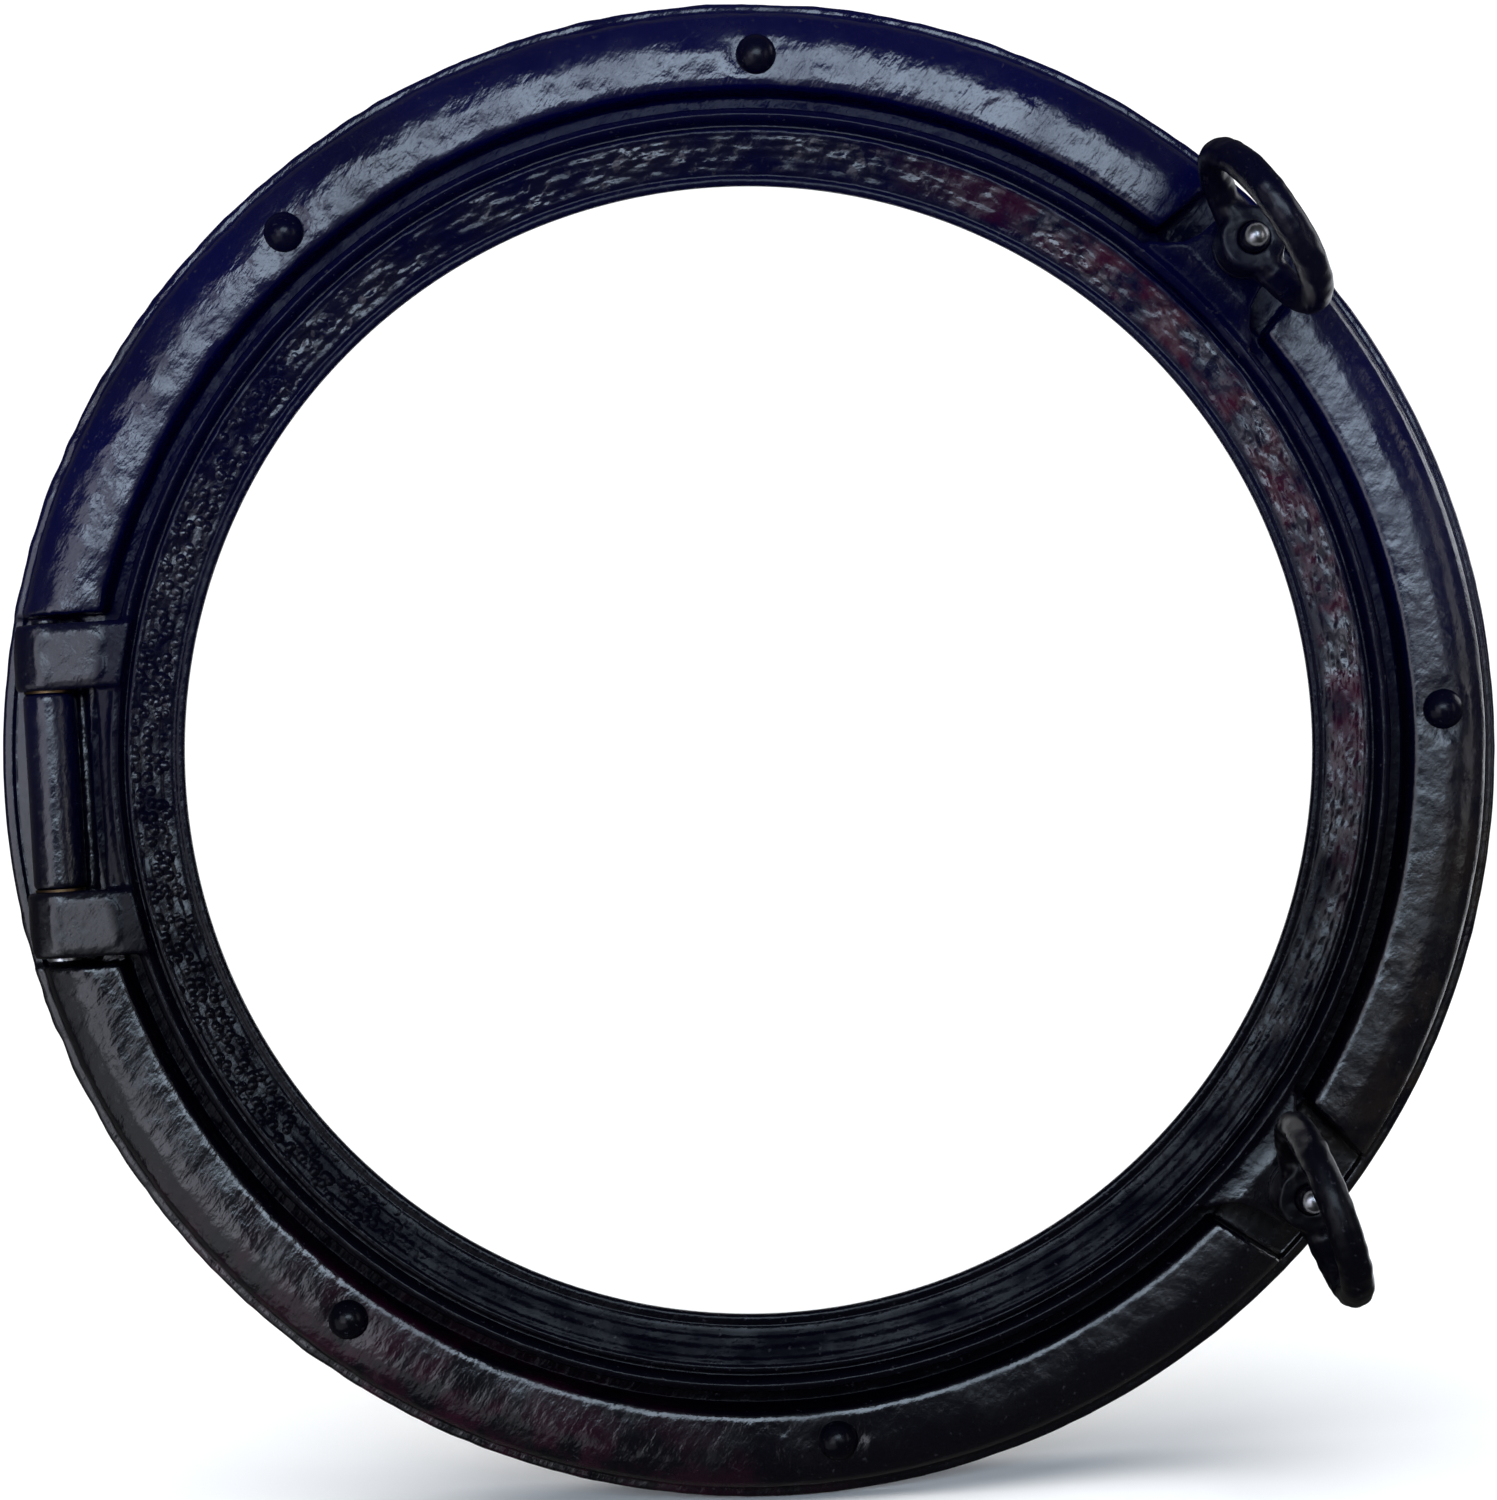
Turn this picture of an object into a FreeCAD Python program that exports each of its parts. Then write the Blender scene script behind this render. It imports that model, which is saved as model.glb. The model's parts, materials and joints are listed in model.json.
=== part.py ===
import FreeCAD, Part
import math
import os
from FreeCAD import Vector

# Opening porthole. Lengths are millimetres.
# Everything is drawn lying face up: X to the right, Y up, and the height above the hull plane along Z.
# stand_up() then turns each piece so that the window stands upright, with its front facing -Y.
# The origin is on the window's axis, in the plane of the flange's back.

# Outer frame
flange_radius = 305.0
band_outer_radius = 300.5
band_outer_batter = 3.5
band_inner_radius = 266.8
band_inner_batter = 0.8
band_shoulder_height = 19.0
band_crown_height = 23.0
band_crown_rounding = 30.0
band_shoulder_rounding = 5.0
band_foot_rounding = 1.5
edge_height = 6.0
edge_rounding = 2.0
pocket_floor = 3.0
seat_height = 8.0
frame_bore_radius = 246.5
spigot_radius = 256.0
spigot_depth = 40.0
spigot_rounding = 1.0
edge_break = 0.8

# Seal between frame and door
seal_inner_radius = 248.5
seal_outer_radius = 254.5
seal_groove_depth = 3.5
seal_stand = 1.5
seal_crest_rounding = 2.0

# Door ring
door_radius = 258.4
door_front = 27.0
door_back = seat_height + seal_stand
ridge_inner_radius = 251.8
ridge_rounding = 3.0
ridge_groove_depth = 2.5
ridge_groove_batter = 0.8
ridge_groove_rounding = 0.4
glazing_band_radius = 248.8
glazing_band_height = 26.0
lip_outer_radius = 231.3
lip_height = 20.5
lip_rise = 0.6
lip_rounding = 1.2
clear_radius = 227.3
rebate_rounding = 0.3
casting_inner_radius = ridge_inner_radius + 0.5

# Glass and its bedding, stacked forward from the door's back
gasket_thickness = 1.0
gasket_inner_radius = 229.5
glass_radius = 235.0
glass_edge_rounding = 0.6
gasket_outer_radius = glass_radius + 0.5
glass_thickness = 6.0
glass_rebate_radius = 236.0
glass_back = door_back + gasket_thickness
glass_front = glass_back + glass_thickness
rebate_height = glass_front + gasket_thickness
retainer_inner_radius = 230.0
retainer_outer_radius = 245.0
retainer_thickness = 3.0
retainer_screw_circle = 240.8
retainer_screw_count = 12
retainer_screw_radius = 2.0
retainer_screw_head_radius = 3.8
retainer_screw_depth = 9.0
screw_hole_spare = 0.5
screw_slot_half_length = 3.0
screw_slot_half_width = 0.5
screw_slot_depth = 0.9

# Hinge, on the left
hinge_x = -280.6
hinge_height = 17.0
barrel_radius = 10.4
barrel_half_length = 39.4
barrel_foot_half_width = 8.0
thrust_washer_gap = 1.0
thrust_washer_thickness = 0.9
thrust_washer_radius = barrel_radius - 0.5
arm_inner = barrel_half_length + thrust_washer_gap
arm_outer = 67.0
arm_end_radius = 13.0
arm_inner_end_x = -244.0
bridge_edge_x = -260.0
bridge_top = door_front - 0.5
bridge_inner_radius = ridge_inner_radius + 3.0
hinge_pin_radius = 4.0
hinge_pin_head_radius = 5.5
hinge_pin_head_length = 2.2
hinge_pin_tail = 2.2
hinge_bush_radius = 6.0
running_clearance = 0.05
hinge_pocket_half_length = 71.0
hinge_pocket_inner_x = -268.0
hinge_pocket_corner_radius = 6.0
clip_radius = 6.5
clip_thickness = 1.2
hinge_side_gap = 0.1

# Dogs, on the right
dog_angle = 42.0
dog_radius = 282.0
dog_pivot_height = 12.0
dog_pivot_radius = 4.0
dog_eye_radius = 8.0
dog_eye_half_width = 6.5
clevis_ear_inner = 7.0
clevis_ear_outer = 13.0
clevis_gap_half_length = 20.0
dog_pocket_inner_half = 31.0
dog_pocket_outer_half = 26.0
dog_pocket_end_radius = 320.0
dog_pocket_corner_radius = 4.0
dog_gap_radius = band_inner_radius - 6.0
pivot_pin_half_length = 15.0
bolt_radius = 6.0
bolt_tip_height = 58.0
slot_half_width = 7.0
lug_bottom = 21.0
lug_top = 29.0
lug_end_radius = 286.0
lug_end_half = 15.5
lug_end_rounding = 5.0
lug_neck_radius = door_radius + 8.0
lug_neck_half = 18.0
lug_neck_rounding = 8.0
lug_flare_half = 29.0
lug_flare_rounding = 3.0
lug_root_radius = 245.0
lug_root_half = 30.0
lug_boss_half = 22.0
dog_washer_radius = 13.0
dog_washer_bore_radius = 6.5
dog_washer_bottom = 29.6
dog_washer_thickness = 2.4
nut_gap = 0.05
nut_bottom = dog_washer_bottom + dog_washer_thickness + nut_gap
nut_hub_radius = 13.0
nut_hub_top = 50.0
eye_centre_height = 72.0
eye_ring_radius = 34.0
eye_section_radius = 5.0
nut_shoulder_half_length = 20.0
nut_shoulder_radius = 6.0
upper_eye_direction = -58.7
lower_eye_direction = -74.2

# Mounting bolts
bolt_circle_radius = 280.0
bolt_angles = (0.0, 86.0, 128.5, -128.5, -86.0)
bolt_head_radius = 8.4
bolt_head_height = 6.5
bolt_seat_radius = 12.0
bolt_seat_height = 21.0
bolt_neck_radius = 4.25
bolt_hole_radius = 4.5
stud_radius = 4.0
stud_length = 45.0
stud_chamfer = 1.0

# How far joined or cut shapes run into each other, a distance beyond the whole window, and a gap
# too small to need an edge
overlap = 1.0
reach = 400.0
same_place = 1e-6
up = Vector(0, 0, 1)
origin = Vector(0, 0, 0)


def in_section(point):
    """Section drawings: distance from the window's axis, and height."""
    return Vector(point.x, 0, point.y)


def in_plan(point):
    """Plan drawings: seen from the front."""
    return Vector(point.x, point.y, 0)


def rounded_wire(corners, place):
    """Closed wire through corners given as (across, up, rounding radius)."""
    count = len(corners)
    stretches = []
    for index in range(count):
        across, height, radius = corners[index]
        before = corners[index - 1]
        after = corners[(index + 1) % count]
        here = Vector(across, height, 0)
        if radius == 0:
            stretches.append((here, None, here))
            continue
        back = (Vector(before[0], before[1], 0) - here).normalize()
        ahead = (Vector(after[0], after[1], 0) - here).normalize()
        half = back.getAngle(ahead) / 2
        tangent = radius / math.tan(half)
        inward = (back + ahead).normalize()
        middle = here + inward * (radius / math.sin(half) - radius)
        stretches.append((here + back * tangent, middle, here + ahead * tangent))
    edges = []
    for index in range(count):
        start, middle, end = stretches[index]
        if middle is not None:
            edges.append(Part.Arc(place(start), place(middle), place(end)).toShape())
        following = stretches[(index + 1) % count][0]
        if (following - end).Length > same_place:
            edges.append(Part.LineSegment(place(end), place(following)).toShape())
    return Part.Wire(edges)


def turned(corners):
    """Solid of revolution about the window's axis."""
    return Part.Face(rounded_wire(corners, in_section)).revolve(origin, up, 360)


def plate(corners, bottom, top):
    """Flat plate with the given plan outline."""
    face = Part.Face(rounded_wire(corners, in_plan))
    face.translate(Vector(0, 0, bottom))
    return face.extrude(Vector(0, 0, top - bottom))


def block(x_range, y_range, height_range):
    size = [pair[1] - pair[0] for pair in (x_range, y_range, height_range)]
    return Part.makeBox(size[0], size[1], size[2], Vector(x_range[0], y_range[0], height_range[0]))


def disc(radius, bottom, top, x=0.0, y=0.0):
    return Part.makeCylinder(radius, top - bottom, Vector(x, y, bottom))


def hoop(inner, outer, bottom, top, x=0.0, y=0.0):
    return disc(outer, bottom, top, x, y).cut(disc(inner, bottom, top, x, y))


def along_hinge(radius, start, end):
    """Cylinder on the hinge's axis, which runs along Y."""
    return Part.makeCylinder(radius, end - start, Vector(hinge_x, start, hinge_height), Vector(0, 1, 0))


def across_dog(radius, half_length):
    """Cylinder on a dog's pivot axis, for a dog that stands at angle 0."""
    start = Vector(dog_radius, -half_length, dog_pivot_height)
    return Part.makeCylinder(radius, 2 * half_length, start, Vector(0, 1, 0))


def swung(shape, angle):
    """Copy turned about the window's axis."""
    copy = shape.copy()
    copy.rotate(origin, up, angle)
    return copy


def at_angles(shape, angles):
    return [swung(shape, angle) for angle in angles]


def stand_up(shape):
    copy = shape.copy()
    copy.rotate(origin, Vector(1, 0, 0), 90)
    return copy


def flange_blank():
    groove_floor = seat_height - seal_groove_depth
    return turned([
        (frame_bore_radius, -spigot_depth, spigot_rounding),
        (spigot_radius, -spigot_depth, spigot_rounding),
        (spigot_radius, 0, 0),
        (flange_radius, 0, edge_break),
        (flange_radius, edge_height, edge_rounding),
        (band_outer_radius, edge_height, 0),
        (band_outer_radius - band_outer_batter, band_shoulder_height, band_shoulder_rounding),
        (bolt_circle_radius, band_crown_height, band_crown_rounding),
        (band_inner_radius, band_shoulder_height, band_shoulder_rounding),
        (band_inner_radius - band_inner_batter, seat_height, band_foot_rounding),
        (seal_outer_radius, seat_height, 0),
        (seal_outer_radius, groove_floor, 0),
        (seal_inner_radius, groove_floor, 0),
        (seal_inner_radius, seat_height, 0),
        (frame_bore_radius, seat_height, edge_break),
    ])


def hinge_pocket():
    """Room in the raised band for the arms and the barrel, open to the flange's edge."""
    half = hinge_pocket_half_length
    corner = hinge_pocket_corner_radius
    above_seat = block((-reach, -clear_radius), (-half, half), (seat_height, reach))
    lower = plate([(-reach, -half, 0), (hinge_pocket_inner_x, -half, corner),
                   (hinge_pocket_inner_x, half, corner), (-reach, half, 0)], pocket_floor, reach)
    return above_seat.fuse(inside_edge(lower))


def inside_edge(pocket):
    """The part of a pocket that leaves the flange's edge bead standing."""
    outside = hoop(band_outer_radius, reach, 0, edge_height)
    return pocket.cut(outside)


def dog_pocket():
    """Room for a door lug and the swing bolt's pivot, narrowing outwards."""
    above_seat = plate(dog_pocket_plan(dog_gap_radius, 0), seat_height, reach)
    lower = plate(dog_pocket_plan(band_inner_radius, dog_pocket_corner_radius), pocket_floor, reach)
    return above_seat.fuse(inside_edge(lower))


def dog_pocket_plan(inner_radius, corner):
    """Corners of a dog pocket, rounded on its inner side."""
    return [
        (inner_radius, -dog_pocket_inner_half, corner),
        (dog_pocket_end_radius, -dog_pocket_outer_half, 0),
        (dog_pocket_end_radius, dog_pocket_outer_half, 0),
        (inner_radius, dog_pocket_inner_half, corner),
    ]


def dog_clevis():
    """Two ears that hold a dog's pivot pin."""
    cheeks = across_dog(dog_eye_radius, clevis_ear_outer)
    foot = block((dog_radius - dog_eye_radius, dog_radius + dog_eye_radius),
                 (-clevis_ear_outer, clevis_ear_outer), (pocket_floor - overlap, dog_pivot_height))
    gap = block((dog_radius - clevis_gap_half_length, dog_radius + clevis_gap_half_length),
                (-clevis_ear_inner, clevis_ear_inner), (pocket_floor, reach))
    return cheeks.fuse(foot).cut(gap).cut(across_dog(dog_pivot_radius, clevis_ear_outer))


def hinge_barrel():
    """Fixed middle knuckle of the hinge, on a foot that rises from the pocket's floor."""
    barrel = along_hinge(barrel_radius, -barrel_half_length, barrel_half_length)
    foot = block((hinge_x - barrel_foot_half_width, hinge_x + barrel_foot_half_width),
                 (-barrel_half_length, barrel_half_length), (pocket_floor - overlap, hinge_height))
    return barrel.fuse(foot).cut(along_hinge(hinge_pin_radius, -barrel_half_length, barrel_half_length))


def outer_frame():
    hole = disc(bolt_hole_radius, -overlap, reach, bolt_circle_radius)
    seat = disc(bolt_seat_radius, bolt_seat_height, reach, bolt_circle_radius)
    frame = flange_blank()
    frame = frame.cut([hinge_pocket()] + at_angles(dog_pocket(), (dog_angle, -dog_angle)))
    frame = frame.cut(at_angles(hole.fuse(seat), bolt_angles))
    return frame.fuse([hinge_barrel()] + at_angles(dog_clevis(), (dog_angle, -dog_angle)))


def frame_seal():
    middle = (seal_inner_radius + seal_outer_radius) / 2
    floor = seat_height - seal_groove_depth
    return turned([
        (seal_inner_radius, floor, 0),
        (seal_outer_radius, floor, 0),
        (seal_outer_radius, seat_height, 0),
        (middle, door_back, seal_crest_rounding),
        (seal_inner_radius, seat_height, 0),
    ])


def mounting_bolt():
    """Domed bolt: head on its seat, neck in the flange, threaded stud behind it."""
    dome_radius = (bolt_head_radius ** 2 + bolt_head_height ** 2) / (2 * bolt_head_height)
    top = bolt_seat_height + bolt_head_height
    dome = Part.makeSphere(dome_radius, Vector(bolt_circle_radius, 0, top - dome_radius))
    head = disc(bolt_head_radius, bolt_seat_height, top, bolt_circle_radius).common(dome)
    neck = disc(bolt_neck_radius, 0, bolt_seat_height, bolt_circle_radius)
    tip = Vector(bolt_circle_radius, 0, -stud_length - stud_chamfer)
    point = Part.makeCone(stud_radius - stud_chamfer, stud_radius, stud_chamfer, tip)
    stud = disc(stud_radius, -stud_length, 0, bolt_circle_radius)
    return head.fuse([neck, stud, point])


def mounting_bolts():
    return Part.makeCompound(at_angles(mounting_bolt(), bolt_angles))


def hinge_pin():
    face = arm_outer + hinge_side_gap
    head = along_hinge(hinge_pin_head_radius, face, face + hinge_pin_head_length)
    return along_hinge(hinge_pin_radius, -face - hinge_pin_tail, face).fuse(head)


def hinge_pin_clip():
    face = -arm_outer - hinge_side_gap
    clip = along_hinge(clip_radius, face - clip_thickness, face)
    return clip.cut(along_hinge(hinge_pin_radius, face - clip_thickness, face))


def hinge_bush():
    bush = along_hinge(hinge_bush_radius, arm_inner, arm_outer)
    return bush.cut(along_hinge(hinge_pin_radius + running_clearance, arm_inner, arm_outer))


def thrust_washer():
    start = barrel_half_length + (thrust_washer_gap - thrust_washer_thickness) / 2
    end = start + thrust_washer_thickness
    washer = along_hinge(thrust_washer_radius, start, end)
    return washer.cut(along_hinge(hinge_pin_radius + running_clearance, start, end))


def mirrored(shape):
    """Copy on the other side of the window's level centre line."""
    return shape.mirror(origin, Vector(0, 1, 0))


def door_blank():
    groove_floor = glazing_band_height - ridge_groove_depth
    return turned([
        (glass_rebate_radius, door_back, rebate_rounding),
        (door_radius, door_back, edge_break),
        (door_radius, door_front, ridge_rounding),
        (ridge_inner_radius, door_front, ridge_rounding),
        (ridge_inner_radius - ridge_groove_batter, groove_floor, ridge_groove_rounding),
        (glazing_band_radius + ridge_groove_batter, groove_floor, ridge_groove_rounding),
        (glazing_band_radius, glazing_band_height, edge_break),
        (lip_outer_radius, lip_height + lip_rise, ridge_groove_rounding),
        (clear_radius, lip_height, lip_rounding),
        (clear_radius, rebate_height, rebate_rounding),
        (glass_rebate_radius, rebate_height, rebate_rounding),
    ])


def hinge_arm():
    """Arm from the door ring to the hinge, with a round end on the hinge's axis."""
    end = along_hinge(arm_end_radius, arm_inner, arm_outer)
    top = hinge_height + arm_end_radius
    bar = block((hinge_x, arm_inner_end_x), (arm_inner, arm_outer), (door_back, top))
    bar = bar.cut(disc(casting_inner_radius, 0, reach))
    return end.fuse(bar)


def hinge_bridge():
    """Straight edge of the door between its arms."""
    bar = block((bridge_edge_x, arm_inner_end_x), (-arm_inner, arm_inner), (door_back, bridge_top))
    return bar.cut(disc(bridge_inner_radius, 0, reach))


def door_lug():
    """Lug with an open slot that a swing bolt drops into."""
    side = [
        (lug_end_radius, lug_end_half, lug_end_rounding),
        (lug_neck_radius, lug_neck_half, lug_neck_rounding),
        (door_radius, lug_flare_half, lug_flare_rounding),
        (lug_root_radius, lug_root_half, 0),
    ]
    other_side = [(across, -half, rounding) for across, half, rounding in reversed(side)]
    body = plate(other_side + side, lug_bottom, lug_top)
    boss = block((lug_root_radius, door_radius + overlap), (-lug_boss_half, lug_boss_half),
                 (door_back, lug_top))
    slot = block((dog_radius, lug_end_radius + overlap), (-slot_half_width, slot_half_width), (0, reach))
    slot = slot.fuse(disc(slot_half_width, 0, reach, dog_radius))
    return body.fuse(boss).cut([disc(casting_inner_radius, 0, reach), slot])


def door_ring():
    arms = [hinge_arm(), mirrored(hinge_arm())]
    lugs = at_angles(door_lug(), (dog_angle, -dog_angle))
    bore = along_hinge(hinge_bush_radius, -arm_outer, arm_outer)
    screw_end = door_back + retainer_screw_depth
    screw_hole = disc(retainer_screw_radius, door_back, screw_end, retainer_screw_circle)
    holes = at_angles(screw_hole, screw_angles())
    return door_blank().fuse(arms + lugs + [hinge_bridge()]).cut([bore] + holes)


def screw_angles():
    step = 360.0 / retainer_screw_count
    return [step * (index + 0.5) for index in range(retainer_screw_count)]


def countersink():
    """Conical head of a retaining screw, flush with the retaining ring's back."""
    bottom = Vector(retainer_screw_circle, 0, door_back - retainer_thickness)
    depth = retainer_screw_head_radius - retainer_screw_radius
    return Part.makeCone(retainer_screw_head_radius, retainer_screw_radius, depth, bottom)


def retaining_screw():
    shank = disc(retainer_screw_radius, door_back - retainer_thickness,
                 door_back + retainer_screw_depth - screw_hole_spare, retainer_screw_circle)
    back = door_back - retainer_thickness
    left = retainer_screw_circle - screw_slot_half_length
    right = retainer_screw_circle + screw_slot_half_length
    slot = block((left, right), (-screw_slot_half_width, screw_slot_half_width), (back, back + screw_slot_depth))
    return shank.fuse(countersink()).cut(slot)


def retaining_ring_screws():
    return Part.makeCompound(at_angles(retaining_screw(), screw_angles()))


def glass_retaining_ring():
    ring = turned([
        (retainer_inner_radius, door_back - retainer_thickness, edge_break),
        (retainer_outer_radius, door_back - retainer_thickness, edge_break),
        (retainer_outer_radius, door_back, 0),
        (retainer_inner_radius, door_back, 0),
    ])
    shank = disc(retainer_screw_radius, 0, door_back, retainer_screw_circle)
    return ring.cut(at_angles(shank.fuse(countersink()), screw_angles()))


def glass_pane():
    return turned([
        (0, glass_back, 0),
        (glass_radius, glass_back, glass_edge_rounding),
        (glass_radius, glass_front, glass_edge_rounding),
        (0, glass_front, 0),
    ])


def glazing_gasket(bottom):
    return hoop(gasket_inner_radius, gasket_outer_radius, bottom, bottom + gasket_thickness)


def dog_pivot_pin():
    return across_dog(dog_pivot_radius, pivot_pin_half_length)


def swing_bolt():
    eye = across_dog(dog_eye_radius, dog_eye_half_width)
    shank_top = bolt_tip_height - bolt_radius
    shank = disc(bolt_radius, dog_pivot_height, shank_top, dog_radius)
    tip = Part.makeSphere(bolt_radius, Vector(dog_radius, 0, shank_top))
    return eye.fuse([shank, tip]).cut(across_dog(dog_pivot_radius + running_clearance, dog_eye_half_width))


def dog_washer():
    top = dog_washer_bottom + dog_washer_thickness
    return hoop(dog_washer_bore_radius, dog_washer_radius, dog_washer_bottom, top, dog_radius)


def dog_nut(eye_direction):
    """Eye nut: a threaded hub with a ring handle whose plane holds the bolt's axis."""
    centre = Vector(dog_radius, 0, eye_centre_height)
    ring = Part.makeTorus(eye_ring_radius, eye_section_radius, centre, Vector(0, 1, 0))
    shoulder_height = nut_hub_top - nut_shoulder_radius
    shoulder_start = Vector(dog_radius - nut_shoulder_half_length, 0, shoulder_height)
    shoulder_length = 2 * nut_shoulder_half_length
    shoulder = Part.makeCylinder(nut_shoulder_radius, shoulder_length, shoulder_start, Vector(1, 0, 0))
    hub = disc(nut_hub_radius, nut_bottom, nut_hub_top, dog_radius)
    bore = disc(bolt_radius + running_clearance, 0, bolt_tip_height, dog_radius)
    nut = hub.fuse([ring, shoulder]).cut(bore)
    nut.rotate(Vector(dog_radius, 0, 0), up, eye_direction)
    return nut


def write(name, shape):
    solids = shape.removeSplitter().Solids
    upright = [stand_up(solid) for solid in solids]
    result = upright[0] if len(upright) == 1 else Part.makeCompound(upright)
    result.exportStep("parts/" + name + ".step")
    volume = sum(solid.Volume for solid in solids)
    print(name, len(solids), "solids", round(volume), "mm3", "valid" if result.isValid() else "INVALID")


def write_dog(side, angle, eye_direction):
    for name, shape in (("dog_pivot_pin", dog_pivot_pin()), ("swing_bolt", swing_bolt()),
                        ("dog_washer", dog_washer()), ("dog_nut", dog_nut(eye_direction - angle))):
        write(side + "_" + name, swung(shape, angle))


def main():
    os.makedirs("parts", exist_ok=True)
    write("outer_frame", outer_frame())
    write("frame_seal", frame_seal())
    write("mounting_bolts", mounting_bolts())
    write("hinge_pin", hinge_pin())
    write("hinge_pin_clip", hinge_pin_clip())
    write("upper_hinge_bush", hinge_bush())
    write("lower_hinge_bush", mirrored(hinge_bush()))
    write("upper_thrust_washer", thrust_washer())
    write("lower_thrust_washer", mirrored(thrust_washer()))
    write("door_ring", door_ring())
    write("glass_pane", glass_pane())
    write("front_glazing_gasket", glazing_gasket(glass_front))
    write("rear_glazing_gasket", glazing_gasket(door_back))
    write("glass_retaining_ring", glass_retaining_ring())
    write("retaining_ring_screws", retaining_ring_screws())
    write_dog("upper", dog_angle, upper_eye_direction)
    write_dog("lower", -dog_angle, lower_eye_direction)


main()
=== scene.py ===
import json
import math
import bmesh
import bpy
import numpy as np
from mathutils import Matrix, Vector


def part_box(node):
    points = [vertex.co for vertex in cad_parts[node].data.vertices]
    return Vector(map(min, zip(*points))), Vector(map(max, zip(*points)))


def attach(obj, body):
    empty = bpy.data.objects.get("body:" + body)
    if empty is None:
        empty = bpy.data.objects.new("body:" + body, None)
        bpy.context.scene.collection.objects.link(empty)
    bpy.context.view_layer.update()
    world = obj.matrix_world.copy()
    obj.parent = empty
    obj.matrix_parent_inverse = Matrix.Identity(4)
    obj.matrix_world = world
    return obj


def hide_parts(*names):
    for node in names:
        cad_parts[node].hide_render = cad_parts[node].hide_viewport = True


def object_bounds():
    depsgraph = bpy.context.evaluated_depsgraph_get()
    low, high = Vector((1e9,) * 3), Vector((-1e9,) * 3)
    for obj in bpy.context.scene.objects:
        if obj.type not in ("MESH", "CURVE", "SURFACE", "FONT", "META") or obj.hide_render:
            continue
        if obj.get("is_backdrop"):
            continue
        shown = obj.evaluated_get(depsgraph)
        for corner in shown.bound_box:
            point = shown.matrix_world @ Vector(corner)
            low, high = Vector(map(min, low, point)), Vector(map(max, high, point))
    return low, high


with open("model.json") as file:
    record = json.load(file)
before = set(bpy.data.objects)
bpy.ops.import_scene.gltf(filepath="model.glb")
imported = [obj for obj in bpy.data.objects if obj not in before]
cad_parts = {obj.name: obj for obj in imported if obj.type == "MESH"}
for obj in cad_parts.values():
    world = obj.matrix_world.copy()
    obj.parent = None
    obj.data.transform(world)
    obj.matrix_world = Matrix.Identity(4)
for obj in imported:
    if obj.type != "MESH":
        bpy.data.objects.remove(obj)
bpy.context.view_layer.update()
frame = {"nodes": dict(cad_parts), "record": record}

# Shapes are drawn in millimetres, lying face up like the CAD: X right, Y up, and the height above
# the hull plane as the third number. to_row() turns a finished mesh upright, in metres.
MM = 0.001
joints = {joint["name"]: joint for joint in frame["record"]["behaviour"]["joints"]}
mounts = {mount["name"]: mount for mount in frame["record"]["mounts"]}


def drawn(point):
    """A point of the frame, in metres, as (x, y, height) in drawing millimetres."""
    return (point[0] / MM, point[2] / MM, -point[1] / MM)


hinge_x, _, hinge_height = drawn(joints["door_swing"]["pos_m"])
dog_x, dog_y, dog_pivot_height = drawn(joints["upper_dog_swing"]["pos_m"])
dog_radius = math.hypot(dog_x, dog_y)
dog_angle = math.atan2(dog_y, dog_x)
stud_places = [drawn(mounts[name]["pos_m"]) for name in
               ("right_stud", "upper_stud", "upper_left_stud", "lower_left_stud", "lower_stud")]
stud_radius = mounts["right_stud"]["dims"]["r_mm"]
spigot_radius = mounts["hull_spigot"]["dims"]["r_mm"]

# The outer frame: its rim, where the pockets' floors rise to a lip, and the seat behind the door.
flange_radius = 305.0
lip_radius = 300.5
seat_height = 8.0
pocket_floor = 3.0
gap_radius = 262.5
gap_floor = seat_height + 0.05
barrel_half = 39.4

# The door, its two hinge arms (from inner to outer side), and the dogs that hold it shut.
door_radius = 258.4
door_back = 9.5
arm_inner = 40.4
arm_outer = 67.0
slot_half = 7.0
dog_eye_radius = 8.0
washer_top = 32.0
nut_bottom = washer_top + 0.05
glass_low, glass_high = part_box("glass_pane")
glass_radius = glass_high[0] / MM
glass_back = -glass_high[1] / MM
glass_front = -glass_low[1] / MM


# ---------------- solids as distance fields

def smooth_min(a, b, blend):
    """Union of two fields with a fillet."""
    share = np.clip(0.5 + 0.5 * (b - a) / blend, 0, 1)
    return b + (a - b) * share - blend * share * (1 - share)


def smooth_max(a, b, blend):
    """Overlap of two fields, with its edge softened."""
    return -smooth_min(-a, -b, blend)


def polygon_distance(u, v, corners):
    """Signed distance from a closed outline, negative inside."""
    nearest = np.full(np.broadcast(u, v).shape, np.inf, np.float32)
    crossings = np.zeros(nearest.shape, bool)
    count = len(corners)
    for index in range(count):
        u0, v0 = corners[index]
        u1, v1 = corners[(index + 1) % count]
        du, dv = u1 - u0, v1 - v0
        along = np.clip(((u - u0) * du + (v - v0) * dv) / (du * du + dv * dv), 0, 1)
        gap = (u - u0 - along * du) ** 2 + (v - v0 - along * dv) ** 2
        nearest = np.minimum(nearest, gap)
        if dv != 0:
            across = (v0 <= v) != (v1 <= v)
            crossings ^= across & (u < u0 + (v - v0) * du / dv)
    return np.where(crossings, -1, 1) * np.sqrt(nearest)


def softened(table, step, radius):
    """Table blurred by a Gaussian, which rounds the outline's corners."""
    reach = int(3 * radius / step) + 1
    offsets = np.arange(-reach, reach + 1) * step
    weights = np.exp(-offsets ** 2 / (2 * radius ** 2))
    weights /= weights.sum()
    for axis in (0, 1):
        widths = [(reach, reach) if a == axis else (0, 0) for a in (0, 1)]
        padded = np.pad(table, widths, mode="edge")
        table = sum(w * np.take(padded, range(i, i + table.shape[axis]), axis)
                    for i, w in enumerate(weights))
    return table


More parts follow.
